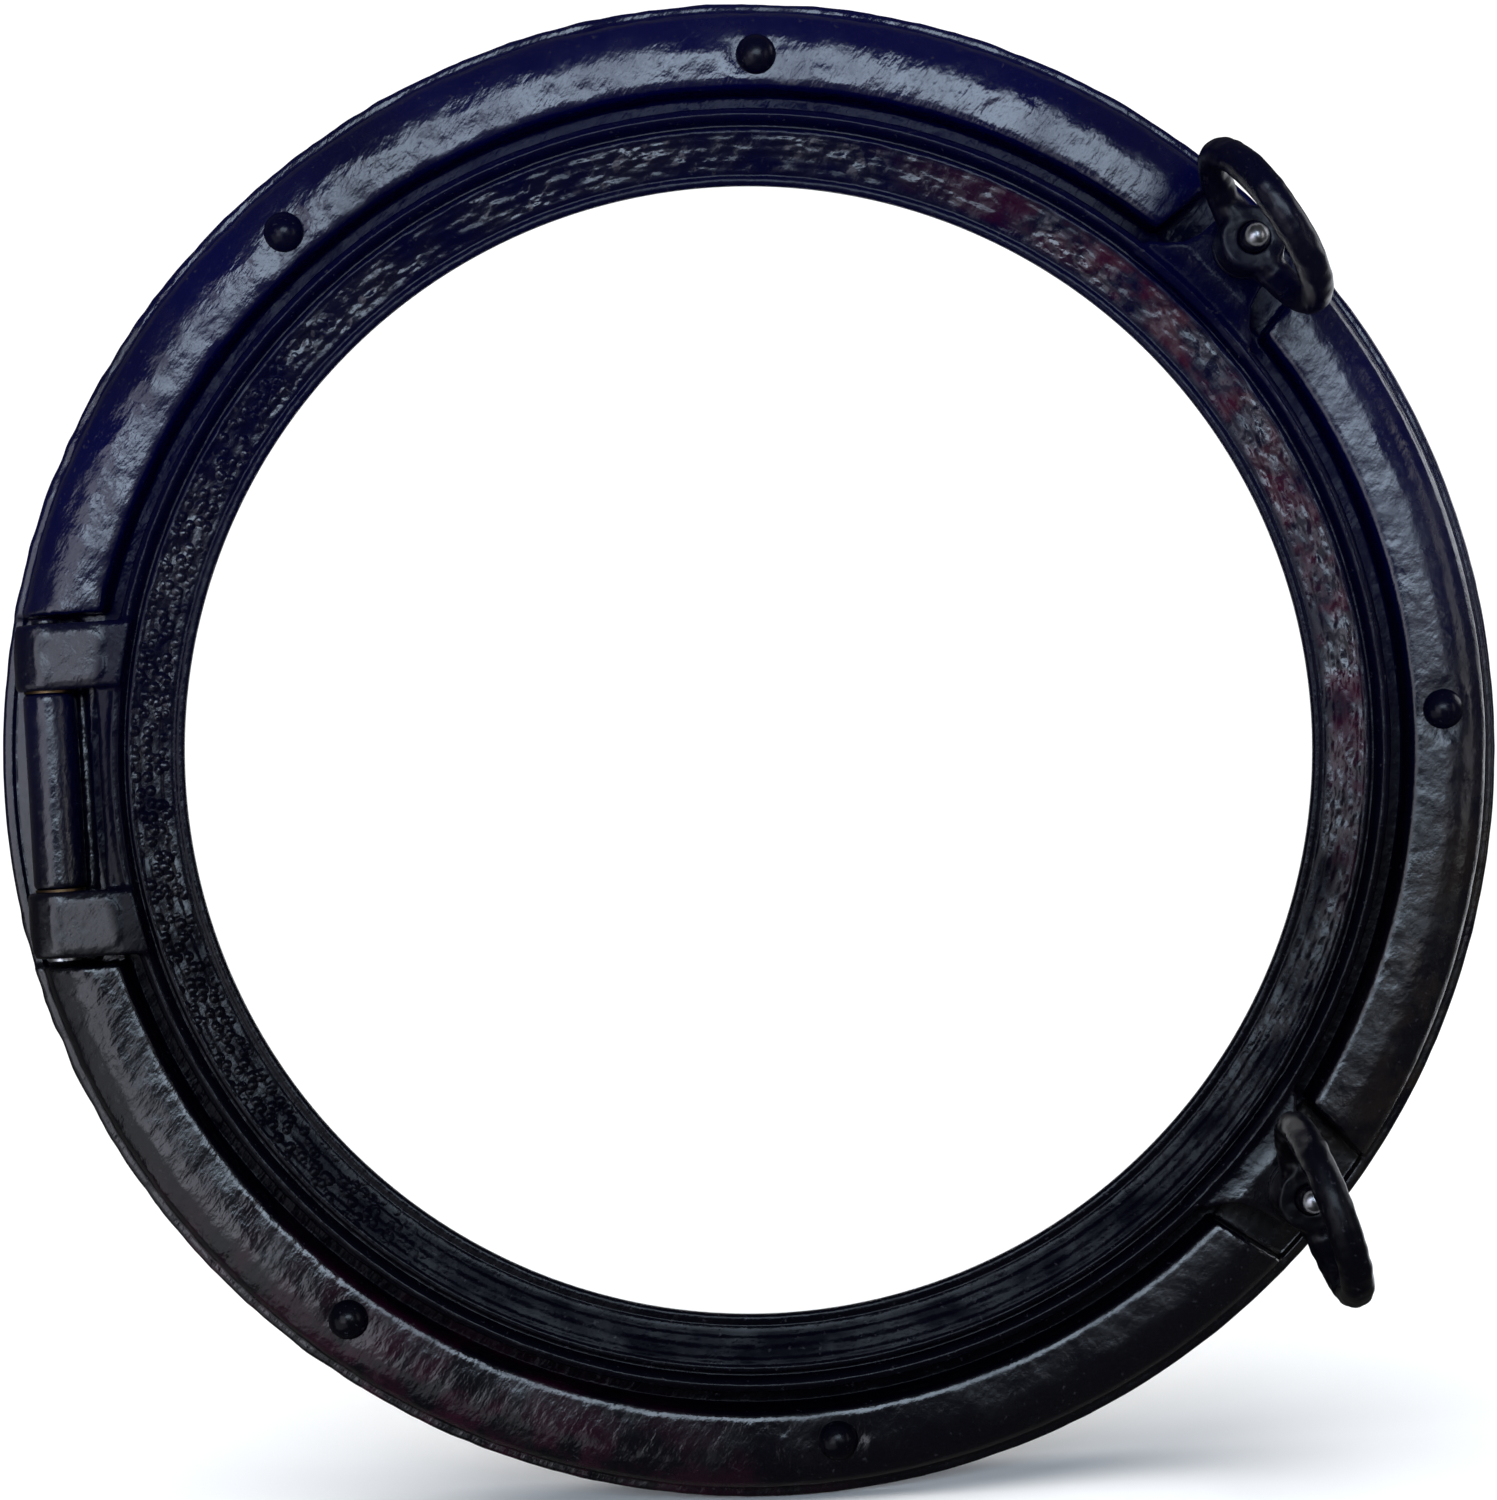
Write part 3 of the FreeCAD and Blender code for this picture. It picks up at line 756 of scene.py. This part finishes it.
def hinge_pin():
    """Pin with a head at its upper end and room for a clip at the other."""
    half, past_arm, shank_radius, head_radius = arm_outer + 0.1, 2.2, 4.0, 5.5
    corners = [(0, -half - past_arm), (shank_radius, -half - past_arm), (shank_radius, half),
               (head_radius, half), (head_radius, half + past_arm), (0, half + past_arm)]
    return turned_piece("hinge_pin_turned", rounded(corners, 0.9, closed=False), 64, hinge=True)


# ---------------- materials

class Nodes:
    """Adds and links shader nodes of one material."""

    def __init__(self, name):
        self.material = bpy.data.materials.new(name)
        self.material.use_nodes = True
        self.tree = self.material.node_tree
        self.shader = self.tree.nodes["Principled BSDF"]
        self.place = self.add("ShaderNodeTexCoord").outputs["Object"]
        self.x, self.y, self.z = self.add("ShaderNodeSeparateXYZ", {"Vector": self.place}).outputs

    def add(self, kind, inputs=None, **settings):
        node = self.tree.nodes.new(kind)
        for key, value in settings.items():
            setattr(node, key, value)
        for key, value in (inputs or {}).items():
            self.feed(node.inputs[key], value)
        return node

    def feed(self, socket, value):
        if isinstance(value, bpy.types.NodeSocket):
            self.tree.links.new(value, socket)
        else:
            socket.default_value = value

    def noise(self, size_mm, detail=3.0, roughness=0.5, place=None):
        """Noise whose features are about size_mm across."""
        inputs = {"Vector": place or self.place, "Scale": 1000.0 / size_mm, "Detail": detail,
                  "Roughness": roughness}
        return self.add("ShaderNodeTexNoise", inputs).outputs["Fac"]

    def math(self, operation, a, b=0.0, c=0.0):
        return self.add("ShaderNodeMath", {0: a, 1: b, 2: c}, operation=operation).outputs[0]

    def times(self, a, b):
        return self.math("MULTIPLY", a, b)

    def ramp(self, value, low, high, to_low=0.0, to_high=1.0):
        """Maps low to to_low and high to to_high, held at both ends."""
        inputs = dict(zip(range(5), (value, low, high, to_low, to_high)))
        return self.add("ShaderNodeMapRange", inputs, clamp=True).outputs["Result"]

    def mix(self, share, a, b):
        """Colour between a and b."""
        return self.add("ShaderNodeMix", {0: share, 6: a, 7: b}, data_type="RGBA").outputs[2]

    def mix_value(self, share, a, b):
        """Number between a and b."""
        return self.add("ShaderNodeMix", {0: share, 2: a, 3: b}, data_type="FLOAT").outputs[0]

    def bump(self, height, distance_mm, strength=1.0, under=None):
        """Normal of a relief, on top of the one under it."""
        inputs = {"Height": height, "Distance": distance_mm * MM, "Strength": strength}
        if under is not None:
            inputs["Normal"] = under
        return self.add("ShaderNodeBump", inputs).outputs["Normal"]

    def towards(self, degrees):
        """How far a place lies, in metres, towards an angle in the window's plane."""
        angle = math.radians(degrees)
        across = self.times(self.x, math.cos(angle))
        up = self.times(self.z, math.sin(angle))
        return self.math("ADD", across, up)

    def length(self, across, up):
        """Distance made of a way across and a way up."""
        squares = self.math("ADD", self.math("POWER", across, 2.0), self.math("POWER", up, 2.0))
        return self.math("SQRT", squares)

    def radius(self):
        """Distance from the window's axis, in metres."""
        return self.length(self.x, self.z)

    def band(self, inner, outer, soft=1.0):
        """1 between two distances from the window's axis, in mm, and 0 outside them."""
        radius = self.math("DIVIDE", self.radius(), MM)
        return self.times(self.ramp(radius, inner - soft, inner + soft),
                          self.ramp(radius, outer - soft, outer + soft, 1.0, 0.0))

    def away_from(self, x, z, reach):
        """0.15 near a place in the window's plane and 1 from reach millimetres out."""
        across = self.math("SUBTRACT", self.x, x * MM)
        up = self.math("SUBTRACT", self.z, z * MM)
        return self.ramp(self.length(across, up), reach * MM * 0.75, reach * MM, 0.15, 1.0)

    def ringwise(self, middle, stretch):
        """Place in which a pattern comes out longer round the window than across the ring."""
        radius = self.radius()
        beyond = self.math("SUBTRACT", radius, middle * MM)
        pulled = self.math("MULTIPLY_ADD", beyond, stretch, middle * MM)
        scale = self.math("DIVIDE", pulled, radius)
        return self.add("ShaderNodeVectorMath", {0: self.place, "Scale": scale},
                        operation="SCALE").outputs["Vector"]

    def finish(self, **inputs):
        """The material, with these shader inputs; _ stands for a space in their names."""
        for key, value in inputs.items():
            self.feed(self.shader.inputs[key.replace("_", " ")], value)
        return self.material


PALE_AIR = (1.0, 1.0, 1.0, 1)
AIR_STRENGTH = 1.15
BLACK = (0.0006, 0.0006, 0.0022, 1)
NAVY = (0.0003, 0.0005, 0.0200, 1)
PLUM = (0.0220, 0.0014, 0.0090, 1)
BROWN = (0.0140, 0.0085, 0.0050, 1)
WORN = (0.020, 0.020, 0.026, 1)
BARE = (0.35, 0.35, 0.37, 1)
# Degrees for the strokes, millimetres for the depths, metres for the worn edge.
STROKE_ANGLE = 52
STROKE_STRETCH = 2.6
BEADS_PER_METRE = 235.0
BEAD_DEPTH = 3.4
LUMP_DEPTH = 2.8
BARE_EDGE = 0.0012


def paint_colour(n, broad, navy, plum, brown, pebbled):
    """Navy-black paint: random navy and black, with the navy kept towards the top and black below
    as painted light from above; plum and brown patches that are painted reflections; and worn
    specks.
    """
    patch = n.noise(16.0, 3.0, 0.6)
    # Painted light from above: navy towards the top, black towards the bottom.
    high = n.ramp(n.z, -0.06, 0.14)
    navy_and_top_light = n.times(n.ramp(broad, 0.30, 0.55, 0.45, navy), high)
    colour = n.mix(navy_and_top_light, BLACK, NAVY)
    # Plum and brown patches towards given angles: painted reflections.
    for tint, painted_reflection_side in ((PLUM, plum), (BROWN, brown)):
        if painted_reflection_side:
            degrees, start, full, most = painted_reflection_side
            reach = n.ramp(n.towards(degrees), start, full, 0.0, most)
            if pebbled:
                reach = n.times(reach, n.band(*pebbled))
            patches = n.times(reach, n.ramp(patch, 0.42, 0.60))
            colour = n.mix(patches, colour, tint)
    specks = n.ramp(n.noise(2.2, 2.0, 0.6), 0.66, 0.72)
    return n.mix(n.times(specks, 0.5), colour, WORN)


def brushed_coat(n, strokes, peel, grain):
    """Normal of strokes, weaker at the lower right and left edge, orange peel and pits."""
    along = {"Vector": n.place, "Rotation": (0.0, math.radians(-STROKE_ANGLE), 0.0),
             "Scale": (STROKE_STRETCH, 1.0, 1.0)}
    brushed = n.add("ShaderNodeMapping", along, vector_type="TEXTURE").outputs["Vector"]
    evened = n.times(n.ramp(n.towards(-25), 0.02, 0.20, 1.0, 0.30),
                     n.ramp(n.towards(180), 0.270, 0.285, 1.0, 0.2))
    flow = n.bump(n.noise(4.5, 3.0, 0.60, place=brushed), 0.62 * strokes, evened)
    skin = n.bump(n.noise(9.0, 2.0, 0.5), 0.45 * peel, under=flow)
    return n.bump(n.noise(2.0, 3.0, 0.65), 0.10 * grain, under=skin)


def pebbled_band(n, coat_normal, pebbled, gloss):
    """Normal and specular level of a casting with a rough band, which is beaded at the left."""
    inner, outer = pebbled
    around = n.ringwise(inner, 1.9)
    inside = n.band(inner, outer)
    clusters = n.ramp(n.noise(26.0, 2.0, 0.5, place=around), 0.36, 0.60, 0.15, 1.0)
    # Weaker towards the bottom, in gloss and lumps: painted shade on the lower band.
    clusters = n.times(clusters, n.ramp(n.z, -0.17, 0.02, 0.12, 1.0))
    beaded = n.ramp(n.towards(180), 0.13, 0.20)
    lumps = n.noise(8.0, 1.5, 0.45, place=around)
    uneven = n.times(clusters, n.ramp(beaded, 0.0, 1.0, 1.0, 0.35))
    lumpy = n.bump(lumps, LUMP_DEPTH, n.times(uneven, inside), under=coat_normal)
    cells = {"Vector": n.place, "Scale": BEADS_PER_METRE, "Randomness": 0.85}
    beads = n.add("ShaderNodeTexVoronoi", cells, feature="F1").outputs["Distance"]
    crowned = n.math("SUBTRACT", 0.30, n.math("POWER", beads, 2.0))
    normal = n.bump(n.math("MAXIMUM", crowned, 0.0), BEAD_DEPTH, n.times(inside, beaded), lumpy)
    beyond = n.ramp(n.radius(), (outer + 14.0) * MM, (outer + 18.0) * MM, gloss * 0.25, gloss)
    return normal, n.mix_value(inside, beyond, n.times(clusters, gloss))


def gloss_paint(name, strokes=1.0, peel=1.0, grain=1.0, rough=(0.16, 0.32), navy=1.0, plum=None,
                brown=None, pebbled=None, bare_height=None, gloss=0.5, shaded_spots=(), gap_shade_inside=None):
    """Thick gloss paint over a casting: brushed flow, orange peel, pits, navy towards the top as
    painted light, and plum and brown patches as painted reflections.

    plum and brown are (degrees, start, full, most): a patch of painted reflection towards that
    angle, where it starts and is full, in metres, and how strong it gets.
    pebbled is (inner, outer) in mm: a band of the casting that was left rough under the paint.
    bare_height is how far in front of the hull plane, in metres, the paint is rubbed off a bolt.
    gloss is the specular level. It falls away as painted shade inside the shaded spots, (x, z,
    radius) in mm, and nearer the window's axis than the given gap radius, in mm, as painted shade
    in the gap.
    """
    n = Nodes(name)
    broad = n.noise(120.0, 2.0)
    colour = paint_colour(n, broad, navy, plum, brown, pebbled)
    roughness = n.ramp(n.noise(24.0, 4.0, 0.6), 0.35, 0.68, *rough)
    level = n.ramp(broad, 0.35, 0.65, gloss * 0.85, gloss * 1.1)
    normal = brushed_coat(n, strokes, peel, grain)
    if pebbled:
        normal, level = pebbled_band(n, normal, pebbled, gloss)
    # Painted shade in the gap inside the band: the gloss falls away nearer the axis.
    if gap_shade_inside:
        painted_gap_shade = n.ramp(n.radius(), (gap_shade_inside - 1.0) * MM, gap_shade_inside * MM, 0.1, 1.0)
        level = n.times(level, painted_gap_shade)
    # Painted shade: the gloss falls away round each spot where a dog shades the paint.
    for x, z, reach in shaded_spots:
        level = n.times(level, n.away_from(x, z, reach))
    bare = 0.0
    if bare_height:
        front = n.times(n.y, -1.0)
        edge = n.math("MULTIPLY_ADD", n.noise(2.0), BARE_EDGE, front)
        bare = n.ramp(edge, bare_height, bare_height + BARE_EDGE)
        colour = n.mix(bare, colour, BARE)
    level = n.mix_value(bare, level, 0.5)
    return n.finish(Base_Color=colour, Roughness=roughness, Metallic=bare, Normal=normal, IOR=1.5,
                    Specular_IOR_Level=level)


def turned_metal(name, colour, dark, roughness):
    """Machined metal: fine turning lines and a patchy film."""
    n = Nodes(name)
    film = n.noise(9.0, 4.0, 0.6)
    tint = n.mix(n.ramp(film, 0.4, 0.7), colour, dark)
    lines = n.noise(0.5, 2.0, 0.5)
    rough = n.ramp(film, 0.3, 0.7, roughness, roughness + 0.18)
    return n.finish(Base_Color=tint, Metallic=1.0, Roughness=rough, Normal=n.bump(lines, 0.03))


def rubber(name):
    """Black rubber with a pale bloom."""
    n = Nodes(name)
    bloom = n.noise(18.0, 4.0, 0.6)
    tint = n.mix(n.ramp(bloom, 0.4, 0.75), (0.012, 0.012, 0.013, 1), (0.035, 0.034, 0.033, 1))
    rough = n.ramp(bloom, 0.3, 0.7, 0.55, 0.8)
    return n.finish(Base_Color=tint, Roughness=rough, Normal=n.bump(n.noise(0.8, 3.0, 0.6), 0.05))


def window_glass():
    """Clear pane with a faint green body tint and very slight surface waviness."""
    n = Nodes("clear_toughened_glass")
    smear = n.noise(60.0, 3.0, 0.5)
    tint = n.mix(smear, (0.985, 0.997, 0.995, 1), (0.975, 0.992, 0.990, 1))
    wave = n.bump(n.noise(90.0, 1.0), 0.01)
    rough = n.ramp(smear, 0.3, 0.8, 0.0, 0.012)
    return n.finish(Base_Color=tint, Roughness=rough, Transmission_Weight=1.0, IOR=1.45,
                    Normal=wave)


def coat(piece, material):
    """Gives a CAD node the material in every slot."""
    for index in range(max(1, len(piece.material_slots))):
        if len(piece.data.materials) == 0:
            piece.data.materials.append(material)
        else:
            piece.material_slots[index].link = "OBJECT"
            piece.material_slots[index].material = material


# ---------------- put the pieces together

def settle(piece, body, slot, material, *nodes):
    """Colours a new piece, fastens it to its body, and hides the CAD nodes that it stands for."""
    piece.data.materials.append(material)
    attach(piece, body)
    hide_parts(*nodes)


# Round the upper dog, where it shades its lug and the flange: painted shade.
upper_dog_shade_spot = (205.0, 193.0, 42.0)
# The plum and brown patches are painted reflections.
frame_paint = gloss_paint("frame_gloss_navy", plum=(-118, 0.245, 0.29, 0.5),
                          brown=(-25, 0.26, 0.30, 0.5), shaded_spots=[upper_dog_shade_spot], gap_shade_inside=268.4)
door_paint = gloss_paint("door_gloss_black", strokes=0.5, grain=1.2, navy=0.45,
                         plum=(28, 0.16, 0.235, 0.9), pebbled=(233.5, 247.0),
                         shaded_spots=[upper_dog_shade_spot])
small_coat = {"strokes": 0.3, "peel": 0.5, "grain": 0.6, "navy": 0.2, "gloss": 0.18}
swing_bolt_paint = gloss_paint("swing_bolt_gloss_black", rough=(0.26, 0.38), bare_height=0.0563,
                               **small_coat)
dog_paint = gloss_paint("dog_gloss_black", rough=(0.26, 0.38), **small_coat)
bolt_paint = gloss_paint("bolt_gloss_black", rough=(0.18, 0.30), **small_coat)
pin_paint = gloss_paint("pin_gloss_black", 0.3, 0.5, 0.6, navy=0.3)
retainer_paint = gloss_paint("retainer_gloss_black", 0.4, 0.5, 0.8, navy=0.3)
bronze = turned_metal("bush_bronze", (0.16, 0.10, 0.05, 1), (0.03, 0.02, 0.015, 1), 0.34)
steel = turned_metal("pin_steel", (0.55, 0.56, 0.58, 1), (0.30, 0.30, 0.31, 1), 0.25)
seal_rubber = rubber("seal_rubber")
gasket_rubber = rubber("gasket_rubber")
glass = window_glass()

settle(frame_casting(), "frame", "painted_casting", frame_paint, "outer_frame")
settle(door_casting(), "door", "painted_door", door_paint, "door_ring")
settle(glass_pane(), "door", "window_glass", glass, "glass_pane")
settle(retaining_ring(), "door", "painted_retainer", retainer_paint, "glass_retaining_ring")
settle(mounting_bolts(), "frame", "painted_bolts", bolt_paint, "mounting_bolts")
settle(hinge_pin(), "frame", "painted_pins", pin_paint, "hinge_pin")
for side, sign, direction, seed in (("upper", 1, -58.7, 31), ("lower", -1, -74.2, 32)):
    settle(swing_bolt(side + "_bolt_forged", sign), side + "_bolt", "painted_dogs",
           swing_bolt_paint, side + "_swing_bolt")
    settle(dog_washer(side + "_washer_turned", sign), side + "_washer", "painted_dogs", dog_paint,
           side + "_dog_washer")
    settle(eye_nut(side + "_eye_nut_cast", sign, direction, seed), side + "_nut", "painted_dogs",
           dog_paint, side + "_dog_nut")

kept_nodes = (
    (seal_rubber, ("frame_seal",)),
    (gasket_rubber, ("front_glazing_gasket", "rear_glazing_gasket")),
    (bronze, ("upper_hinge_bush", "lower_hinge_bush", "upper_thrust_washer",
              "lower_thrust_washer")),
    (steel, ("hinge_pin_clip", "retaining_ring_screws")),
    (bolt_paint, ("upper_dog_pivot_pin", "lower_dog_pivot_pin")),
)
for material, names in kept_nodes:
    for name in names:
        coat(frame["nodes"][name], material)


# ---------------- studio

def floor_material():
    """Matt pale floor that melts into the pale air far from the window."""
    n = Nodes("pale_floor")
    tone = n.ramp(n.noise(300.0, 3.0), 0.3, 0.7, 0.96, 1.0)
    tinted = n.mix(tone, (0.0, 0.0, 0.0, 1), (0.94, 0.94, 0.94, 1))
    output = n.tree.nodes["Material Output"]
    n.finish(Base_Color=tinted, Roughness=0.9, Specular_IOR_Level=0.1)
    haze = n.add("ShaderNodeEmission", {"Color": PALE_AIR, "Strength": AIR_STRENGTH})
    away = n.add("ShaderNodeVectorMath", {0: n.place}, operation="LENGTH").outputs["Value"]
    melt_from, melt_to = 0.7, 3.5
    melt = n.add("ShaderNodeMixShader", {0: n.ramp(away, melt_from, melt_to)})
    n.tree.links.new(n.shader.outputs[0], melt.inputs[1])
    n.tree.links.new(haze.outputs[0], melt.inputs[2])
    n.tree.links.new(melt.outputs[0], output.inputs["Surface"])
    return n.material


def pale_floor():
    """Wide round floor that the window stands on."""
    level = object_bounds()[0][2] - 0.0005
    radius, sides = 60.0, 64
    angles = [i * 2 * math.pi / sides for i in range(sides)]
    points = [(radius * math.cos(angle), radius * math.sin(angle), level) for angle in angles]
    mesh = bpy.data.meshes.new("studio_floor")
    mesh.from_pydata(points, [], [tuple(range(sides))])
    floor = linked("studio_floor", mesh)
    mesh.materials.append(floor_material())
    floor.visible_glossy = False
    floor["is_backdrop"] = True


def overhead_sun(power, spread, tilt):
    """Very soft light from above, the same all over the floor; angles are in degrees."""
    lamp = bpy.data.lights.new("overhead_sky", "SUN")
    lamp.energy = power
    lamp.angle = math.radians(spread)
    holder = linked("overhead_sky", lamp)
    holder.rotation_euler = (math.radians(tilt[0]), math.radians(tilt[1]), 0)
    holder.visible_glossy = False


def softbox(name, place, size, radiance, colour, target):
    """Rectangular soft light, as bright as the given radiance."""
    lamp = bpy.data.lights.new(name, "AREA")
    lamp.shape = "RECTANGLE"
    lamp.size, lamp.size_y = size
    lamp.energy = radiance * math.pi * size[0] * size[1]
    lamp.color = colour
    holder = linked(name, lamp)
    holder.location = place
    facing = Vector(target) - Vector(place)
    holder.rotation_euler = facing.to_track_quat("-Z", "Y").to_euler()
    holder.visible_camera = False


def world_light(strength):
    """Pale air behind everything, dimmer as a light and in reflections."""
    world = bpy.data.worlds.new("studio_air")
    world.use_nodes = True
    nodes, link = world.node_tree.nodes, world.node_tree.links.new
    path, seen, level = (nodes.new("ShaderNode" + kind)
                         for kind in ("LightPath", "Math", "MapRange"))
    seen.operation = "MAXIMUM"
    link(path.outputs["Is Camera Ray"], seen.inputs[0])
    link(path.outputs["Is Transmission Ray"], seen.inputs[1])
    level.inputs["To Min"].default_value = strength
    level.inputs["To Max"].default_value = AIR_STRENGTH
    link(seen.outputs[0], level.inputs["Value"])
    background = nodes["Background"]
    background.inputs["Color"].default_value = PALE_AIR
    link(level.outputs["Result"], background.inputs["Strength"])
    bpy.context.scene.world = world


def camera():
    """Square in front of the window and rolled a little, seeing half_height to each side."""
    distance, roll, half_height = 1.1, math.radians(3.4), 0.3077
    lens = bpy.data.cameras.new("front_camera")
    lens.sensor_width = 36.0
    lens.lens = lens.sensor_width / 2 * distance / half_height
    lens.clip_end = 50.0
    holder = linked("front_camera", lens)
    upright = Matrix.Rotation(math.pi / 2, 4, "X")
    turn = Matrix.Rotation(roll, 4, "Y")
    holder.matrix_world = Matrix.Translation((0, -distance, 0)) @ turn @ upright
    bpy.context.scene.camera = holder


pale_floor()
world_light(0.06)
overhead_sun(3.5, 70, tilt=(16, -8))
centre = (0, 0, 0)
# Name, place, width and height, radiance, colour, and the point that it faces.
softboxes = (
    ("key_front", (0.07, -2.2, 0.60), (1.35, 0.80), 9.0, (0.68, 0.83, 1.0), (0.07, 0, 0.60)),
    ("fill_left", (-1.30, -2.2, -0.04), (1.40, 1.56), 2.4, (0.84, 0.86, 1.0), (-1.30, 0, -0.04)),
    ("fill_right", (0.85, -2.2, -0.04), (1.00, 0.44), 1.2, (0.90, 0.93, 1.0), (0.85, 0, -0.04)),
    ("low_left", (-1.8, -1.8, -1.2), (3.0, 2.0), 0.7, (0.90, 0.93, 1.0), centre),
    ("back_right", (1.6, 1.9, -0.1), (1.7, 1.7), 1.6, (0.90, 0.94, 1.0), centre),
    ("side_right", (2.4, 0.7, 1.0), (1.2, 1.2), 3.0, (0.90, 0.94, 1.0), centre),
    ("rim_right", (1.9, -1.3, 0.2), (0.3, 1.2), 2.0, (1, 1, 1), centre),
)
for row in softboxes:
    softbox(*row)
camera()
bpy.context.scene.view_settings.view_transform = "Standard"
